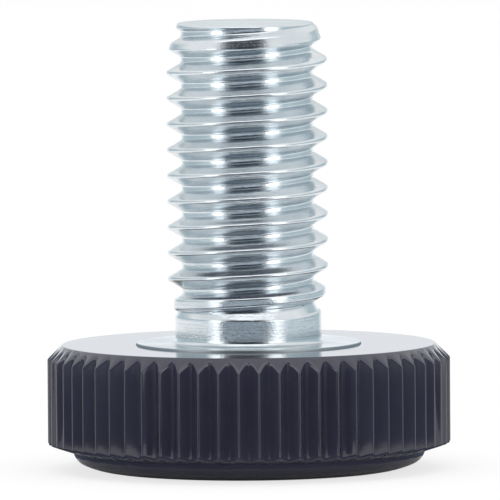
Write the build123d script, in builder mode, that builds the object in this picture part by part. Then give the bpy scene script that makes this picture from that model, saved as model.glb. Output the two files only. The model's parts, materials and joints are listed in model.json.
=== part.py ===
"""Levelling glide: a hexagon-head screw whose head is moulded into a fluted plastic foot.

Millimetres, +Z up along the screw, origin at the centre of the face that meets the floor.
"""

import os
from math import cos, pi, radians, sin

from build123d import *

# Screw thread, M8 coarse: the stem follows the line over its crests
thread_diameter = 7.85
thread_pitch = 1.25
runout_turns = 1.2
point_turns = 1.36
point_diameter = 6.7
stem_length = 15.5

# Plain neck under the thread
neck_diameter = 7.1
neck_length = 1.6
neck_flare = 0.2

# Hexagon head of the screw, with its washer face
head_across_flats = 13.0
head_height = 5.3
washer_face_diameter = 10.9
washer_face_thickness = 0.6
washer_face_proud = 0.1

# Plastic foot round the head
floor_thickness = 0.9
side_wall = 1.7
flute_count = 62
flute_depth = 0.57
land_width = 0.07
rim_chamfer = 0.7
shoulder_width = 1.22
shoulder_rise = 0.4
bowl_height = 0.9
bowl_run = 1.94
bowl_break_run_share = 0.75
bowl_break_height_share = 0.34

# Heights up the axis
washer_face_z = floor_thickness + head_height
foot_top_z = washer_face_z - washer_face_proud
hexagon_top_z = washer_face_z - washer_face_thickness
runout_z = washer_face_z + neck_length
full_thread_z = runout_z + runout_turns * thread_pitch
stem_end_z = washer_face_z + stem_length
point_z = stem_end_z - point_turns * thread_pitch

# Radii about the axis
head_corner_radius = head_across_flats / 2 / cos(radians(30))
valley_radius = head_corner_radius + side_wall
ridge_radius = valley_radius + flute_depth
bowl_radius = ridge_radius - shoulder_width
contact_radius = bowl_radius - bowl_run

# Where the bowl turns from its shallow curve to its steep one
bowl_break = (contact_radius + bowl_break_run_share * bowl_run, bowl_break_height_share * bowl_height)

# Outline of the rim: V-shaped flutes between narrow lands, with a valley towards -Y
flute_angle = 2 * pi / flute_count
land_angle = land_width / ridge_radius
rim_outline = []
for flute in range(flute_count):
    valley_angle = flute * flute_angle - pi / 2
    rim_outline.append((valley_radius * cos(valley_angle), valley_radius * sin(valley_angle)))
    for side in (-1, 1):
        land_edge = valley_angle + (flute_angle + side * land_angle) / 2
        rim_outline.append((ridge_radius * cos(land_edge), ridge_radius * sin(land_edge)))


# Steel screw: head, washer face, neck, thread run-out, threaded stem and tapered point
with BuildPart() as threaded_stud:
    with BuildSketch(Plane.XY.offset(floor_thickness)):
        RegularPolygon(radius=head_across_flats / 2, side_count=6, major_radius=False)
    extrude(amount=hexagon_top_z - floor_thickness)
    with BuildSketch(Plane.XZ):
        with BuildLine():
            Polyline(
                (0, hexagon_top_z),
                (washer_face_diameter / 2, hexagon_top_z),
                (washer_face_diameter / 2, washer_face_z),
                (neck_diameter / 2 + neck_flare, washer_face_z),
                (neck_diameter / 2, washer_face_z + neck_flare),
                (neck_diameter / 2, runout_z),
                (thread_diameter / 2, full_thread_z),
                (thread_diameter / 2, point_z),
                (point_diameter / 2, stem_end_z),
                (0, stem_end_z),
                close=True,
            )
        make_face()
    revolve(axis=Axis.Z)

threaded_stud.part.label = "threaded_stud"


# Plastic foot: bowl-shaped underside, fluted rim with a chamfered top, moulded round the head
with BuildPart() as fluted_foot:
    with BuildSketch(Plane.XZ):
        with BuildLine():
            Line((0, 0), (contact_radius, 0))
            underside = TangentArc((contact_radius, 0), bowl_break, tangent=(1, 0))
            TangentArc(bowl_break, (bowl_radius, bowl_height), tangent=underside % 1)
            Polyline(
                (bowl_radius, bowl_height),
                (ridge_radius, bowl_height + shoulder_rise),
                (ridge_radius, foot_top_z),
                (0, foot_top_z),
                (0, 0),
            )
        make_face()
    revolve(axis=Axis.Z)

    rim_edges = fluted_foot.edges().filter_by(GeomType.CIRCLE).group_by(SortBy.RADIUS)[-1]
    chamfer(rim_edges.sort_by(Axis.Z)[-1], length=rim_chamfer)

    # Flutes run the whole height of the rim and out through the chamfer and the shoulder
    with BuildSketch(Plane.XY):
        with BuildLine():
            Polyline(rim_outline, close=True)
        make_face()
    extrude(amount=foot_top_z, mode=Mode.INTERSECT)

    add(threaded_stud.part, mode=Mode.SUBTRACT)

fluted_foot.part.label = "fluted_foot"


os.makedirs("parts", exist_ok=True)
export_step(threaded_stud.part, "parts/threaded_stud.step")
export_step(fluted_foot.part, "parts/fluted_foot.step")
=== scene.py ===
"""Levelling glide: the looks of a zinc-plated screw moulded into a fluted black plastic foot.

Metres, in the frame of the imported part: +Z up along the screw, the photographed side towards -Y.
"""

import json
from math import atan2, ceil, cos, hypot, pi, radians, sin, tan

import bmesh
import bpy
from mathutils import Matrix, Vector


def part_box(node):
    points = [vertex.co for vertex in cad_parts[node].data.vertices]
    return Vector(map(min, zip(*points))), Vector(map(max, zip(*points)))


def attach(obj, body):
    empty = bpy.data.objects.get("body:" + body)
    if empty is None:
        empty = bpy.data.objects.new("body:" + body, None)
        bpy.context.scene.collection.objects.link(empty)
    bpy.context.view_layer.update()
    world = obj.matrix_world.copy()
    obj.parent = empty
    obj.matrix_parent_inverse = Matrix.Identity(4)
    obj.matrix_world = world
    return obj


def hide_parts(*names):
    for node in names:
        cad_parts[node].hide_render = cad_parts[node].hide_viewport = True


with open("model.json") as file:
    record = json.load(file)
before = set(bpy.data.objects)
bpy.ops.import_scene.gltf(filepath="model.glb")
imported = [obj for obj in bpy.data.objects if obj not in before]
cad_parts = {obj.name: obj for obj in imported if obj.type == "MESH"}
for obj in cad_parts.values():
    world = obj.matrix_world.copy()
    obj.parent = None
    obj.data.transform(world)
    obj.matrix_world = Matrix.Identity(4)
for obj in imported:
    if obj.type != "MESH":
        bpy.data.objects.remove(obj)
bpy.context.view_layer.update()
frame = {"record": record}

MM = 0.001

# Sizes that come from the frame
stud_low, stud_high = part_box("threaded_stud")
_, foot_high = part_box("fluted_foot")
mounts = {mount["name"]: mount for mount in frame["record"]["mounts"]}
CREST_RADIUS = mounts["stud"]["dims"]["r_mm"] * MM
STEM_END_Z = stud_high.z
HEAD_END_Z = stud_low.z
HEAD_CORNER_RADIUS = stud_high.x
FOOT_TOP_Z = foot_high.z
RIDGE_RADIUS = foot_high.x

# Thread: M8 coarse, right-hand
THREAD_PITCH = 1.25 * MM
FLANK_LEAN = radians(30)
ROOT_RADIUS = 3.19 * MM
CREST_FLAT = 0.12 * MM
CREST_ROUND = 0.09 * MM
ROOT_ROUND = 0.12 * MM
LEFT_CREST_Z = FOOT_TOP_Z + 3.19 * MM
TURN_STEPS = 96
PROFILE_STEPS = 36
WELD_DISTANCE = THREAD_PITCH / PROFILE_STEPS / 10

# Tapered point
POINT_RADIUS = 3.35 * MM
POINT_LENGTH = 1.7 * MM
POINT_ROUND = 0.07 * MM
POINT_LEANS = (0, 30, 60, 90)

# Neck and run-out: starts are heights above the washer face
NECK_RADIUS = 3.55 * MM
NECK_FILLET = 0.23 * MM
FILLET_LEANS = (18, 36, 54, 72, 90)
CREST_START = 1.6 * MM
CREST_RISE_LENGTH = 1.5 * MM
GROOVE_START = 1.26 * MM
GROOVE_FALL_LENGTH = 0.82 * MM
RUNOUT_ROUND = 0.06 * MM
LEAST_ROUND_SHARE = 0.01

# Washer face and head of the screw
WASHER_FACE_PROUD = 0.1 * MM
WASHER_FACE_THICKNESS = 0.6 * MM
WASHER_FACE_RADIUS = 5.45 * MM
WASHER_FACE_ROUND = 0.035 * MM
WASHER_EDGE_LEANS = (0, 30, 60, 90)
# Width of the painted shade at the edge of the washer face, where the plastic meets it
SEAM_SHADE_WIDTH = 0.015 * MM
WASHER_FACE_Z = FOOT_TOP_Z + WASHER_FACE_PROUD
HEXAGON_TOP_Z = WASHER_FACE_Z - WASHER_FACE_THICKNESS

# Rim of the foot
FLUTE_COUNT = 62
FLUTE_DEPTH = 0.52 * MM
FLUTE_CURVE = 1.4
FLUTE_SIDE_STEPS = 7
LAND_WIDTH = 0.07 * MM
LAND_ROUND = 0.02 * MM
LAND_ROUND_SIDE_SHARE = 0.25
LAND_ROUND_DROP_SHARE = 0.35
RIM_CHAMFER = 0.7 * MM
RIM_EDGE_ROUND = 0.035 * MM

# Shoulder and underside of the foot
SHOULDER_WIDTH = 1.22 * MM
SHOULDER_RISE = 0.4 * MM
SHOULDER_ROUND = 0.05 * MM
BOWL_HEIGHT = 0.9 * MM
BOWL_RUN = 1.94 * MM
BOWL_BREAK_RUN_SHARE = 0.75
BOWL_BREAK_HEIGHT_SHARE = 0.34
BOWL_STEPS = 6
BOWL_RADIUS = RIDGE_RADIUS - SHOULDER_WIDTH
CONTACT_RADIUS = BOWL_RADIUS - BOWL_RUN

# Gap round the screw, narrow borders that keep faces flat beside a round, and edges that stay crisp
MOULDING_GAP = 0.015 * MM
FLAT_BORDER = 0.04 * MM
RIM_BORDER = 2 * RIM_EDGE_ROUND + FLAT_BORDER
SHOULDER_BORDER = 1.5 * SHOULDER_ROUND + FLAT_BORDER
SCREW_CRISP_ANGLE = radians(35)
FOOT_CRISP_ANGLE = radians(40)


def rounded_min(a, b, width):
    """The smaller of two lengths, with the corner where they cross rounded over a width."""
    share = min(max(0.5 + (b - a) / (2 * width), 0), 1)
    return b + (a - b) * share - width * share * (1 - share)


def rounded_max(a, b, width):
    """The larger of two lengths, rounded in the same way."""
    return -rounded_min(-a, -b, width)


def reach(vert):
    """Distance of a vertex from the axis."""
    return hypot(vert.co.x, vert.co.y)


def ring_edges(verts):
    """Edges that join the vertices of a ring."""
    chosen = set(verts)
    return [e for e in {e for v in verts for e in v.link_edges} if chosen.issuperset(e.verts)]


def next_ring(bm, edges, place):
    """Extrudes a ring of edges and puts each new vertex where place says; gives the new ring."""
    made = bmesh.ops.extrude_edge_only(bm, edges=edges)["geom"]
    for vert in (part for part in made if isinstance(part, bmesh.types.BMVert)):
        radius, height = place(vert)
        angle = atan2(vert.co.y, vert.co.x)
        vert.co = (radius * cos(angle), radius * sin(angle), height)
    return [part for part in made if isinstance(part, bmesh.types.BMEdge) and part.is_boundary]


def hexagon_radius(vert):
    """Distance from the axis to the side of the head in a vertex's direction, with a corner on +X."""
    flat_radius = HEAD_CORNER_RADIUS * cos(pi / 6)
    past_corner = atan2(vert.co.y, vert.co.x) % (pi / 3)
    return flat_radius / cos(past_corner - pi / 6)


def new_object(bm, name):
    """Turns a mesh that is done into an object of the scene."""
    mesh = bpy.data.meshes.new(name)
    bm.to_mesh(mesh)
    bm.free()
    made = bpy.data.objects.new(name, mesh)
    bpy.context.scene.collection.objects.link(made)
    return made


def finished_piece(bm, name, node, material, crisp_angle):
    """Closes a piece's mesh off: normals outwards, crisp edges marked, finish and ride set."""
    bmesh.ops.recalc_face_normals(bm, faces=bm.faces)
    for face in bm.faces:
        face.smooth = True
    for edge in bm.edges:
        edge.smooth = edge.calc_face_angle(0) < crisp_angle
    piece = new_object(bm, name)
    piece.data.materials.append(material)
    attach(piece, "root")
    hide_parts(node)


# Screw

def thread_profile_radius(from_crest):
    """Radius of the thread at an axial distance from the middle of its crest, flanks at 60 degrees."""
    flank = CREST_RADIUS - (abs(from_crest) - CREST_FLAT / 2) / tan(FLANK_LEAN)
    return rounded_max(rounded_min(flank, CREST_RADIUS, CREST_ROUND), ROOT_RADIUS, ROOT_ROUND)


def share_along(height, start, length):
    """How far a height is along a stretch that starts above the washer face, from 0 to 1."""
    return min(max((height - WASHER_FACE_Z - start) / length, 0), 1)


def stem_radius(radius, height, crest_height):
    """Runs the thread out into the neck below, and tapers its crests towards the point above."""
    crest_share = share_along(crest_height, CREST_START, CREST_RISE_LENGTH)
    groove_share = share_along(height, GROOVE_START, GROOVE_FALL_LENGTH)
    crest_limit = NECK_RADIUS + crest_share * (CREST_RADIUS - NECK_RADIUS)
    groove_limit = NECK_RADIUS + groove_share * (ROOT_RADIUS - RUNOUT_ROUND - NECK_RADIUS)
    point_limit = POINT_RADIUS + (STEM_END_Z - height) * (CREST_RADIUS - POINT_RADIUS) / POINT_LENGTH
    limited = rounded_min(rounded_min(radius, crest_limit, CREST_ROUND), point_limit, CREST_ROUND)
    return rounded_max(limited, groove_limit, max(groove_share, LEAST_ROUND_SHARE) * RUNOUT_ROUND)


def build_threaded_stem(bm):
    """One turn of the thread from its profile, repeated up the stem."""
    first_crest_z = LEFT_CREST_Z - THREAD_PITCH / 2
    first_crest_z -= THREAD_PITCH * ceil((first_crest_z - WASHER_FACE_Z) / THREAD_PITCH + 0.5)
    turns = ceil((STEM_END_Z - first_crest_z) / THREAD_PITCH) + 1
    profile = []
    for step in range(PROFILE_STEPS + 1):
        from_crest = THREAD_PITCH * (step / PROFILE_STEPS - 0.5)
        profile.append(bm.verts.new((thread_profile_radius(from_crest), 0, first_crest_z + from_crest)))
    chain = [bm.edges.new(pair) for pair in zip(profile, profile[1:])]
    bmesh.ops.spin(
        bm,
        geom=profile + chain,
        axis=(0, 0, 1),
        cent=(0, 0, 0),
        dvec=(0, 0, THREAD_PITCH / TURN_STEPS),
        angle=2 * pi,
        steps=TURN_STEPS,
        use_merge=False,
    )
    one_turn = bm.verts[:] + bm.edges[:] + bm.faces[:]
    for turn in range(1, turns):
        copied = bmesh.ops.duplicate(bm, geom=one_turn)["geom"]
        moved = [part for part in copied if isinstance(part, bmesh.types.BMVert)]
        bmesh.ops.translate(bm, verts=moved, vec=(0, 0, turn * THREAD_PITCH))
    bmesh.ops.remove_doubles(bm, verts=bm.verts, dist=WELD_DISTANCE)
    for vert in bm.verts:
        turned = atan2(vert.co.y, vert.co.x) / (2 * pi)
        turns_up = round((vert.co.z - first_crest_z) / THREAD_PITCH - turned) + turned
        crest_height = first_crest_z + turns_up * THREAD_PITCH
        scale = stem_radius(reach(vert), vert.co.z, crest_height) / reach(vert)
        vert.co.x *= scale
        vert.co.y *= scale


def cut_level(bm, height, keep_below):
    """Cuts the stem square across and gives the ring of edges left open there."""
    cut = bmesh.ops.bisect_plane(
        bm,
        geom=bm.verts[:] + bm.edges[:] + bm.faces[:],
        plane_co=(0, 0, height),
        plane_no=(0, 0, 1),
        clear_outer=keep_below,
        clear_inner=not keep_below,
    )
    return [part for part in cut["geom_cut"] if isinstance(part, bmesh.types.BMEdge)]


def build_screw(material):
    bm = bmesh.new()
    build_threaded_stem(bm)

    # Point: a rounded edge and a flat end
    ring = cut_level(bm, STEM_END_Z - POINT_ROUND, keep_below=True)
    for lean_before, lean in zip(POINT_LEANS, POINT_LEANS[1:]):
        inward = POINT_ROUND * (cos(radians(lean_before)) - cos(radians(lean)))
        height = STEM_END_Z - POINT_ROUND * (1 - sin(radians(lean)))
        ring = next_ring(bm, ring, lambda v: (reach(v) - inward, height))
    ring = next_ring(bm, ring, lambda v: (reach(v) - FLAT_BORDER, STEM_END_Z))
    bmesh.ops.edgeloop_fill(bm, edges=ring)

    # Neck fillet, washer face and hexagon head
    ring = cut_level(bm, WASHER_FACE_Z + NECK_FILLET, keep_below=False)
    for lean in FILLET_LEANS:
        radius = NECK_RADIUS + NECK_FILLET * (1 - cos(radians(lean)))
        height = WASHER_FACE_Z + NECK_FILLET * (1 - sin(radians(lean)))
        ring = next_ring(bm, ring, lambda v: (radius, height))
    face_start = NECK_RADIUS + NECK_FILLET + FLAT_BORDER
    face_end = WASHER_FACE_RADIUS - WASHER_FACE_ROUND - FLAT_BORDER
    for radius in (face_start, face_end):
        ring = next_ring(bm, ring, lambda v: (radius, WASHER_FACE_Z))
    for lean in WASHER_EDGE_LEANS:
        radius = WASHER_FACE_RADIUS - WASHER_FACE_ROUND * (1 - sin(radians(lean)))
        height = WASHER_FACE_Z - WASHER_FACE_ROUND * (1 - cos(radians(lean)))
        ring = next_ring(bm, ring, lambda v: (radius, height))
    ring = next_ring(bm, ring, lambda v: (WASHER_FACE_RADIUS, HEXAGON_TOP_Z))
    ring = next_ring(bm, ring, lambda v: (hexagon_radius(v), HEXAGON_TOP_Z))
    ring = next_ring(bm, ring, lambda v: (reach(v), HEAD_END_Z))
    bmesh.ops.edgeloop_fill(bm, edges=ring)
    finished_piece(bm, "screw", "threaded_stud", material, SCREW_CRISP_ANGLE)


# Foot

def flute_half_section():
    """Angle and radius of points from the rounded valley of a V flute to the middle of the next land."""
    valley = RIDGE_RADIUS - FLUTE_DEPTH
    mouth_angle = pi / FLUTE_COUNT - LAND_WIDTH / RIDGE_RADIUS / 2
    mouth_side, mouth_out = RIDGE_RADIUS * sin(mouth_angle), RIDGE_RADIUS * cos(mouth_angle)
    side_length = hypot(mouth_side, mouth_out - valley)
    round_share = 1 - LAND_ROUND / side_length
    border_share = round_share - FLAT_BORDER / side_length
    shares = [border_share * step / FLUTE_SIDE_STEPS for step in range(FLUTE_SIDE_STEPS + 1)]
    points = []
    for share in shares + [round_share]:
        sideways, outwards = share * mouth_side, valley + share**FLUTE_CURVE * (mouth_out - valley)
        points.append((atan2(sideways, outwards), hypot(sideways, outwards)))
    round_middle = mouth_angle + LAND_ROUND_SIDE_SHARE * LAND_ROUND / RIDGE_RADIUS
    points.append((round_middle, RIDGE_RADIUS - LAND_ROUND_DROP_SHARE * LAND_ROUND))
    points.append((mouth_angle + LAND_ROUND / RIDGE_RADIUS, RIDGE_RADIUS))
    points.append((pi / FLUTE_COUNT, RIDGE_RADIUS))
    return points


def fluted_ring(bm, radius, height):
    """A level ring with a vertex for each point of the rim; the layer holds the rim's radius there."""
    section = flute_half_section()
    half = len(section) - 1
    pitch = 2 * pi / FLUTE_COUNT
    rim = bm.verts.layers.float.new("rim_radius")
    verts = bmesh.ops.create_circle(bm, segments=2 * half * FLUTE_COUNT, radius=radius)["verts"]
    for index, vert in enumerate(verts):
        flute, step = divmod(index, 2 * half)
        past_half = step > half
        offset, rim_radius = section[2 * half - step if past_half else step]
        angle = flute * pitch - pi / 2 + (pitch - offset if past_half else offset)
        vert.co = (radius * cos(angle), radius * sin(angle), height)
        vert[rim] = rim_radius
    return ring_edges(verts), rim


def shoulder_height(radius):
    """Height of the sloping shoulder under the rim at a radius."""
    return BOWL_HEIGHT + SHOULDER_RISE * (radius - BOWL_RADIUS) / SHOULDER_WIDTH


def arc_points(start, end, lean, steps):
    """Points of an arc that leaves start at a lean and ends at end, and its lean there."""
    run, rise = end[0] - start[0], end[1] - start[1]
    turn = 2 * (atan2(rise, run) - lean)
    radius = hypot(run, rise) / (2 * sin(turn / 2))
    points = []
    for step in range(1, steps + 1):
        here = lean + turn * step / steps
        across, up = radius * (sin(here) - sin(lean)), radius * (cos(lean) - cos(here))
        points.append((start[0] + across, start[1] + up))
    return points, lean + turn


def bowl_points():
    """Radius and height from the contact face up to the shoulder: a shallow arc, then a steep one."""
    contact_edge = (CONTACT_RADIUS, 0)
    break_radius = CONTACT_RADIUS + BOWL_BREAK_RUN_SHARE * BOWL_RUN
    bowl_break = (break_radius, BOWL_BREAK_HEIGHT_SHARE * BOWL_HEIGHT)
    shallow, lean = arc_points(contact_edge, bowl_break, 0, BOWL_STEPS)
    steep, _ = arc_points(bowl_break, (BOWL_RADIUS, BOWL_HEIGHT), lean, BOWL_STEPS)
    return [contact_edge] + shallow + steep


def build_foot(material):
    bm = bmesh.new()
    bore_radius = WASHER_FACE_RADIUS + MOULDING_GAP
    bore_ring, rim = fluted_ring(bm, bore_radius, HEXAGON_TOP_Z)

    # Bore round the washer face, top face and chamfer
    ring = next_ring(bm, bore_ring, lambda v: (bore_radius, FOOT_TOP_Z - RIM_EDGE_ROUND))
    ring = next_ring(bm, ring, lambda v: (bore_radius + RIM_EDGE_ROUND, FOOT_TOP_Z))
    top_edge_radius = RIDGE_RADIUS - RIM_CHAMFER
    face_start = bore_radius + RIM_EDGE_ROUND + FLAT_BORDER
    face_end = top_edge_radius - RIM_EDGE_ROUND - FLAT_BORDER
    for radius in (face_start, face_end):
        ring = next_ring(bm, ring, lambda v: (radius, FOOT_TOP_Z))
    top_edge = next_ring(bm, ring, lambda v: (top_edge_radius, FOOT_TOP_Z))
    arches = next_ring(bm, top_edge, lambda v: (v[rim], FOOT_TOP_Z - (v[rim] - top_edge_radius)))

    # Fluted wall, shoulder and bowl down to the contact face
    ring = next_ring(bm, arches, lambda v: (v[rim], v.co.z - RIM_BORDER))
    ring = next_ring(bm, ring, lambda v: (v[rim], shoulder_height(v[rim]) + SHOULDER_BORDER))
    wall_end = next_ring(bm, ring, lambda v: (v[rim], shoulder_height(v[rim])))
    ring = wall_end
    for radius, height in reversed(bowl_points()):
        ring = next_ring(bm, ring, lambda v: (radius, height))
    bmesh.ops.edgeloop_fill(bm, edges=ring)

    # Pocket round the head of the screw
    pocket = bmesh.ops.create_circle(bm, segments=TURN_STEPS, radius=HEAD_CORNER_RADIUS)["verts"]
    bmesh.ops.rotate(bm, verts=pocket, cent=(0, 0, 0), matrix=Matrix.Rotation(pi / 2, 3, "Z"))
    for vert in pocket:
        side = (hexagon_radius(vert) + MOULDING_GAP) / HEAD_CORNER_RADIUS
        vert.co = (vert.co.x * side, vert.co.y * side, HEXAGON_TOP_Z)
    pocket_ring = ring_edges(pocket)
    pocket_floor = next_ring(bm, pocket_ring, lambda v: (reach(v), HEAD_END_Z - MOULDING_GAP))
    bmesh.ops.edgeloop_fill(bm, edges=pocket_floor)
    bmesh.ops.bridge_loops(bm, edges=bore_ring + pocket_ring)

    # Moulded edges are never quite sharp
    rounds = ((top_edge, RIM_EDGE_ROUND), (arches, RIM_EDGE_ROUND), (wall_end, SHOULDER_ROUND))
    for edges, width in rounds:
        bmesh.ops.bevel(
            bm,
            geom=edges,
            offset=width,
            offset_type="OFFSET",
            segments=2,
            profile=0.5,
            affect="EDGES",
            material=-1,
            clamp_overlap=False,
        )
    finished_piece(bm, "foot", "fluted_foot", material, FOOT_CRISP_ANGLE)


# Finishes: colours have an alpha, scales are per metre, and depths are those of the marks

NOISE_LOW = 0.3
NOISE_HIGH = 0.7
CLOUD_DETAIL = 3
GRAIN_DETAIL = 2

ZINC_DARK = (0.61, 0.665, 0.70, 1)
ZINC_LIGHT = (0.745, 0.785, 0.81, 1)
ZINC_GLANCING = (0.96, 0.96, 0.96, 1)
ZINC_ROUGHNESS = (0.14, 0.25)
ZINC_ANISOTROPY = 0.55
ZINC_CLOUD_SCALE = 500
ZINC_GRAIN_SCALE = 9000
# Painted shade at the washer face's edge, where the plastic meets it; the edge is also made rougher
# there
SEAM_SHADE_COLOUR = (0.36, 0.40, 0.43, 1)
SEAM_ROUGHNESS = 0.4
ROLLING_SCALE = (300, 300, 14000)
ROLLING_DETAIL = 2
ROLLING_DEPTH = 0.01 * MM
ROLLING_STRENGTH = 0.3
PIT_DEPTH = 0.012 * MM
PIT_STRENGTH = 0.4

PLASTIC_DARK = (0.027, 0.027, 0.047, 1)
PLASTIC_LIGHT = (0.033, 0.033, 0.055, 1)
PLASTIC_ROUGHNESS = (0.06, 0.09)
PLASTIC_IOR = 1.62
PLASTIC_CLOUD_SCALE = 350
PLASTIC_GRAIN_SCALE = 7000
PLASTIC_GRAIN_DEPTH = 0.002 * MM
PLASTIC_GRAIN_STRENGTH = 0.3


def new_material(name):
    material = bpy.data.materials.new(name)
    material.use_nodes = True
    nodes, links = material.node_tree.nodes, material.node_tree.links
    return material, nodes, links, nodes["Principled BSDF"]


def surface_variation_group():
    """Slow clouds and a fine grain over a surface, each from 0 to 1."""
    group = bpy.data.node_groups.new("surface_variation", "ShaderNodeTree")
    group.interface.new_socket("Place", in_out="INPUT", socket_type="NodeSocketVector")
    group.interface.new_socket("Cloud Scale", in_out="INPUT", socket_type="NodeSocketFloat")
    group.interface.new_socket("Grain Scale", in_out="INPUT", socket_type="NodeSocketFloat")
    group.interface.new_socket("Cloud", in_out="OUTPUT", socket_type="NodeSocketFloat")
    group.interface.new_socket("Grain", in_out="OUTPUT", socket_type="NodeSocketFloat")
    given = group.nodes.new("NodeGroupInput")
    result = group.nodes.new("NodeGroupOutput")
    for name, detail in (("Cloud", CLOUD_DETAIL), ("Grain", GRAIN_DETAIL)):
        noise = group.nodes.new("ShaderNodeTexNoise")
        noise.inputs["Detail"].default_value = detail
        group.links.new(given.outputs["Place"], noise.inputs["Vector"])
        group.links.new(given.outputs[f"{name} Scale"], noise.inputs["Scale"])
        group.links.new(noise.outputs["Fac"], result.inputs[name])
    return group


def add_variation(nodes, links, group, place, cloud_scale, grain_scale):
    variation = nodes.new("ShaderNodeGroup")
    variation.node_tree = group
    variation.inputs["Cloud Scale"].default_value = cloud_scale
    variation.inputs["Grain Scale"].default_value = grain_scale
    links.new(place, variation.inputs["Place"])
    return variation


def add_colours(nodes, links, value, dark, light):
    """Spreads the middle values of a noise over two colours."""
    ramp = nodes.new("ShaderNodeValToRGB")
    low, high = ramp.color_ramp.elements[0], ramp.color_ramp.elements[1]
    low.position, low.color = NOISE_LOW, dark
    high.position, high.color = NOISE_HIGH, light
    links.new(value, ramp.inputs["Fac"])
    return ramp.outputs["Color"]


def add_range(nodes, links, value, low, high):
    """Spreads the middle values of a noise over a range."""
    spread = nodes.new("ShaderNodeMapRange")
    spread.inputs["From Min"].default_value = NOISE_LOW
    spread.inputs["From Max"].default_value = NOISE_HIGH
    spread.inputs["To Min"].default_value = low
    spread.inputs["To Max"].default_value = high
    links.new(value, spread.inputs["Value"])
    return spread.outputs["Result"]


def add_bump(nodes, links, height, distance, strength, under=None):
    """Marks of a depth in the surface, over other marks where there are some."""
    bump = nodes.new("ShaderNodeBump")
    bump.inputs["Strength"].default_value = strength
    bump.inputs["Distance"].default_value = distance
    links.new(height, bump.inputs["Height"])
    if under is not None:
        links.new(under, bump.inputs["Normal"])
    return bump.outputs["Normal"]


def add_seam_shade(nodes, links, place):
    """1 at the edge of the washer face, where the moulded plastic meets it and shade is painted, and 0
    inside.
    """
    level = nodes.new("ShaderNodeMapping")
    level.inputs["Scale"].default_value = (1, 1, 0)
    links.new(place, level.inputs["Vector"])
    from_axis = nodes.new("ShaderNodeVectorMath")
    from_axis.operation = "LENGTH"
    links.new(level.outputs["Vector"], from_axis.inputs[0])
    seam_shade_mask = nodes.new("ShaderNodeMapRange")
    seam_shade_mask.inputs["From Min"].default_value = WASHER_FACE_RADIUS - SEAM_SHADE_WIDTH
    seam_shade_mask.inputs["From Max"].default_value = WASHER_FACE_RADIUS - SEAM_SHADE_WIDTH / 2
    links.new(from_axis.outputs["Value"], seam_shade_mask.inputs["Value"])
    return seam_shade_mask.outputs["Result"]


def zinc_plated_steel(variation_group):
    """Bright bluish zinc over rolled steel, with fine marks that run round the screw, and painted shade
    along the edge of the washer face.
    """
    material, nodes, links, surface = new_material("zinc_plated_steel")
    surface.inputs["Metallic"].default_value = 1.0
    surface.inputs["Anisotropic"].default_value = ZINC_ANISOTROPY
    surface.inputs["Specular Tint"].default_value = ZINC_GLANCING
    place = nodes.new("ShaderNodeTexCoord").outputs["Object"]
    variation = add_variation(nodes, links, variation_group, place, ZINC_CLOUD_SCALE, ZINC_GRAIN_SCALE)
    tint = add_colours(nodes, links, variation.outputs["Cloud"], ZINC_DARK, ZINC_LIGHT)
    # Painted shade: the washer face's edge is darkened in its colour and made rougher
    seam_shade_mask = add_seam_shade(nodes, links, place)
    seam_shaded = nodes.new("ShaderNodeMix")
    seam_shaded.data_type = "RGBA"
    links.new(seam_shade_mask, seam_shaded.inputs["Factor"])
    links.new(tint, seam_shaded.inputs["A"])
    seam_shaded.inputs["B"].default_value = SEAM_SHADE_COLOUR
    links.new(seam_shaded.outputs["Result"], surface.inputs["Base Color"])

    # Rolling marks: long round the screw, short along it
    stretch = nodes.new("ShaderNodeMapping")
    stretch.inputs["Scale"].default_value = ROLLING_SCALE
    links.new(place, stretch.inputs["Vector"])
    rolling = nodes.new("ShaderNodeTexNoise")
    rolling.inputs["Scale"].default_value = 1.0
    rolling.inputs["Detail"].default_value = ROLLING_DETAIL
    links.new(stretch.outputs["Vector"], rolling.inputs["Vector"])
    rough = nodes.new("ShaderNodeMix")
    links.new(seam_shade_mask, rough.inputs["Factor"])
    links.new(add_range(nodes, links, rolling.outputs["Fac"], *ZINC_ROUGHNESS), rough.inputs["A"])
    rough.inputs["B"].default_value = SEAM_ROUGHNESS
    links.new(rough.outputs["Result"], surface.inputs["Roughness"])

    marks = add_bump(nodes, links, rolling.outputs["Fac"], ROLLING_DEPTH, ROLLING_STRENGTH)
    pits = add_bump(nodes, links, variation.outputs["Grain"], PIT_DEPTH, PIT_STRENGTH, marks)
    links.new(pits, surface.inputs["Normal"])
    round_axis = nodes.new("ShaderNodeTangent")
    round_axis.direction_type = "RADIAL"
    round_axis.axis = "Z"
    links.new(round_axis.outputs["Tangent"], surface.inputs["Tangent"])
    return material


def black_plastic(variation_group):
    """Moulded black nylon with a soft gloss."""
    material, nodes, links, surface = new_material("black_moulded_plastic")
    surface.inputs["IOR"].default_value = PLASTIC_IOR
    place = nodes.new("ShaderNodeTexCoord").outputs["Object"]
    variation = add_variation(
        nodes, links, variation_group, place, PLASTIC_CLOUD_SCALE, PLASTIC_GRAIN_SCALE
    )
    cloud, grain = variation.outputs["Cloud"], variation.outputs["Grain"]
    colour = add_colours(nodes, links, cloud, PLASTIC_DARK, PLASTIC_LIGHT)
    rough = add_range(nodes, links, cloud, *PLASTIC_ROUGHNESS)
    marks = add_bump(nodes, links, grain, PLASTIC_GRAIN_DEPTH, PLASTIC_GRAIN_STRENGTH)
    links.new(colour, surface.inputs["Base Color"])
    links.new(rough, surface.inputs["Roughness"])
    links.new(marks, surface.inputs["Normal"])
    return material


# Studio

BACKGROUND_WHITE = (1, 1, 1, 1)
FLOOR_COLOUR = (0.9, 0.9, 0.9, 1)
FLOOR_RADIUS = 3
FLOOR_GLOW_SHARE = 0.75
CARD_STEPS = 24

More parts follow.
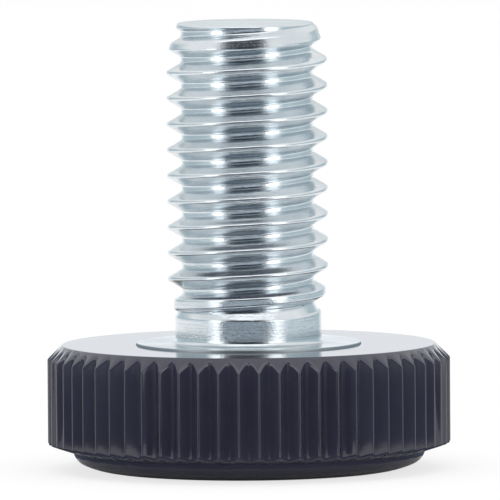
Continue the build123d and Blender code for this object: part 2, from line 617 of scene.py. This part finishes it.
# Colours of the studio cards, from dark to bright
DEEP = (0.03, 0.037, 0.05)
DARK = (0.093, 0.114, 0.15)
DIM = (0.30, 0.33, 0.36)
SIDE_GREY = (0.545, 0.645, 0.69)
TABLE_GREY = (0.56, 0.645, 0.715)
SOFT_WHITE = (0.82, 0.87, 0.89)
PALE = (1.12, 1.16, 1.20)
CLEAR_WHITE = (1.6, 1.6, 1.6)
BRIGHT = (2.5, 2.5, 2.5)

# Outlines of the studio cards: reach from the axis and height
FRONT_CARD = ((0.6, 0.0003), (0.6, 0.62))
FRONT_SIDE_CARD = ((0.069, 0.0003), (0.069, 0.077))
FAR_TABLE_CARD = ((0.069, 0.0003), (0.6, 0.0003))
TABLE_CARD = ((0.022, 0.0003), (0.069, 0.0003))
FOOT_SHADE_CARD = ((0.0088, 0.0003), (0.0125, 0.0003))
STRIP_CARD = ((0.07, 0.005), (0.07, 0.038))
NECK_STRIP_CARD = ((0.07, 0.0003), (0.07, 0.005))
LEFT_CARD = ((0.07, 0.004), (0.07, 0.038))
RIGHT_CARD = ((0.07, 0.0005), (0.07, 0.038))
BACK_CARD = ((0.07, 0.0005), (0.07, 0.018))
BACK_HIGH_CARD = ((0.07, 0.018), (0.07, 0.04))
OVERHEAD_CARD = ((0.034, 0.128), (0.0705, 0.128), (0.0705, 0.078))

# The studio cards: name, outline, bearings of both ends and colour.
# Bearings are in degrees from the camera's side, positive to its right.
STUDIO_CARDS = (
    ("front_card", FRONT_CARD, -42, 33, DEEP),
    ("far_table_card", FAR_TABLE_CARD, -48, 43, TABLE_GREY),
    ("table_card", TABLE_CARD, -47, 43, DARK),
    ("foot_shade_card", FOOT_SHADE_CARD, -180, 180, DARK),
    ("left_front_card", FRONT_SIDE_CARD, -42, -33, DIM),
    ("right_front_card", FRONT_SIDE_CARD, 25, 33, DIM),
    ("left_strip", STRIP_CARD, -61, -42, BRIGHT),
    ("right_strip", STRIP_CARD, 33, 55, BRIGHT),
    ("left_neck_strip", NECK_STRIP_CARD, -53, -47, BRIGHT),
    ("right_neck_strip", NECK_STRIP_CARD, 42, 48, BRIGHT),
    ("left_side_card", LEFT_CARD, -150, -63, SIDE_GREY),
    ("right_side_card", RIGHT_CARD, 57, 150, SIDE_GREY),
    ("back_card", BACK_CARD, 152, 208, PALE),
    ("back_high_card", BACK_HIGH_CARD, 152, 208, SOFT_WHITE),
    ("overhead_card", OVERHEAD_CARD, -60, 60, CLEAR_WHITE),
)


def make_world():
    """Plain white light from every side."""
    world = bpy.data.worlds.new("studio")
    bpy.context.scene.world = world
    world.use_nodes = True
    light = world.node_tree.nodes["Background"]
    light.inputs["Color"].default_value = BACKGROUND_WHITE
    light.inputs["Strength"].default_value = 1.0


def make_floor():
    """Pale floor that shows as white and keeps a faint shadow of the foot."""
    bm = bmesh.new()
    bmesh.ops.create_circle(bm, cap_ends=True, segments=64, radius=FLOOR_RADIUS)
    floor = new_object(bm, "floor")
    material, nodes, links, unused = new_material("pale_floor")
    nodes.remove(unused)
    matt = nodes.new("ShaderNodeBsdfDiffuse")
    matt.inputs["Color"].default_value = FLOOR_COLOUR
    glow = nodes.new("ShaderNodeEmission")
    glow.inputs["Color"].default_value = BACKGROUND_WHITE
    glow.inputs["Strength"].default_value = 1.0
    path = nodes.new("ShaderNodeLightPath")
    share = nodes.new("ShaderNodeMath")
    share.operation = "MULTIPLY"
    share.inputs[1].default_value = FLOOR_GLOW_SHARE
    links.new(path.outputs["Is Camera Ray"], share.inputs[0])
    both = nodes.new("ShaderNodeMixShader")
    links.new(share.outputs["Value"], both.inputs["Fac"])
    links.new(matt.outputs["BSDF"], both.inputs[1])
    links.new(glow.outputs["Emission"], both.inputs[2])
    links.new(both.outputs["Shader"], nodes["Material Output"].inputs["Surface"])
    floor.data.materials.append(material)


def studio_card(name, outline, start, end, colour):
    """A card that only reflections see: its outline swept round the object between two bearings."""
    bm = bmesh.new()
    side = [bm.verts.new((0, -distance, height)) for distance, height in outline]
    edges = [bm.edges.new(pair) for pair in zip(side, side[1:])]
    bmesh.ops.rotate(bm, verts=side, cent=(0, 0, 0), matrix=Matrix.Rotation(radians(start), 3, "Z"))
    bmesh.ops.spin(
        bm,
        geom=side + edges,
        axis=(0, 0, 1),
        cent=(0, 0, 0),
        angle=radians(end - start),
        steps=CARD_STEPS,
        use_merge=False,
    )
    card = new_object(bm, name)
    material, nodes, links, unused = new_material(name)
    nodes.remove(unused)
    glow = nodes.new("ShaderNodeEmission")
    glow.inputs["Color"].default_value = (*colour, 1)
    links.new(glow.outputs["Emission"], nodes["Material Output"].inputs["Surface"])
    card.data.materials.append(material)
    card.visible_camera = False
    card.visible_diffuse = False
    card.visible_shadow = False
    card.visible_transmission = False


def make_lamp(name, bearing, elevation, distance, width, height, watts):
    """A soft rectangular lamp that faces the middle of the object."""
    lamp = bpy.data.lights.new(name, "AREA")
    lamp.shape = "RECTANGLE"
    lamp.size = width
    lamp.size_y = height
    lamp.energy = watts
    stand = bpy.data.objects.new(name, lamp)
    bpy.context.scene.collection.objects.link(stand)
    a, e = radians(bearing), radians(elevation)
    away = Vector((sin(a) * cos(e), -cos(a) * cos(e), sin(e)))
    middle = Vector((0, 0, (STEM_END_Z + HEAD_END_Z) / 2))
    stand.location = middle + distance * away
    stand.rotation_euler = away.to_track_quat("Z", "Y").to_euler()
    stand.visible_camera = False
    stand.visible_glossy = False


# Camera: where the photograph's middle lies on the object, and how much it takes in
VIEW_ELEVATION = 4.2
VIEW_ROLL = 0.4
VIEW_DISTANCE = 0.8
VIEW_WIDTH = 24.27 * MM
VIEW_CENTRE = Vector((0.1 * MM, 0, 10.65 * MM))
SENSOR_WIDTH = 36.0
CLIP_START = 0.01


def make_camera():
    lens = bpy.data.cameras.new("camera")
    lens.sensor_width = SENSOR_WIDTH
    lens.lens = SENSOR_WIDTH * VIEW_DISTANCE / VIEW_WIDTH
    lens.clip_start = CLIP_START
    camera = bpy.data.objects.new("camera", lens)
    bpy.context.scene.collection.objects.link(camera)
    e = radians(VIEW_ELEVATION)
    back = Vector((0, -cos(e), sin(e)))
    turn = back.to_track_quat("Z", "Y").to_matrix() @ Matrix.Rotation(radians(-VIEW_ROLL), 3, "Z")
    camera.matrix_world = Matrix.Translation(VIEW_CENTRE + VIEW_DISTANCE * back) @ turn.to_4x4()
    bpy.context.scene.camera = camera


variation_group = surface_variation_group()
build_screw(zinc_plated_steel(variation_group))
build_foot(black_plastic(variation_group))

make_world()
make_floor()
for card in STUDIO_CARDS:
    studio_card(*card)
make_lamp("overhead", bearing=0, elevation=80, distance=0.5, width=0.4, height=0.4, watts=0.7)
make_camera()
bpy.context.scene.view_settings.view_transform = "Standard"
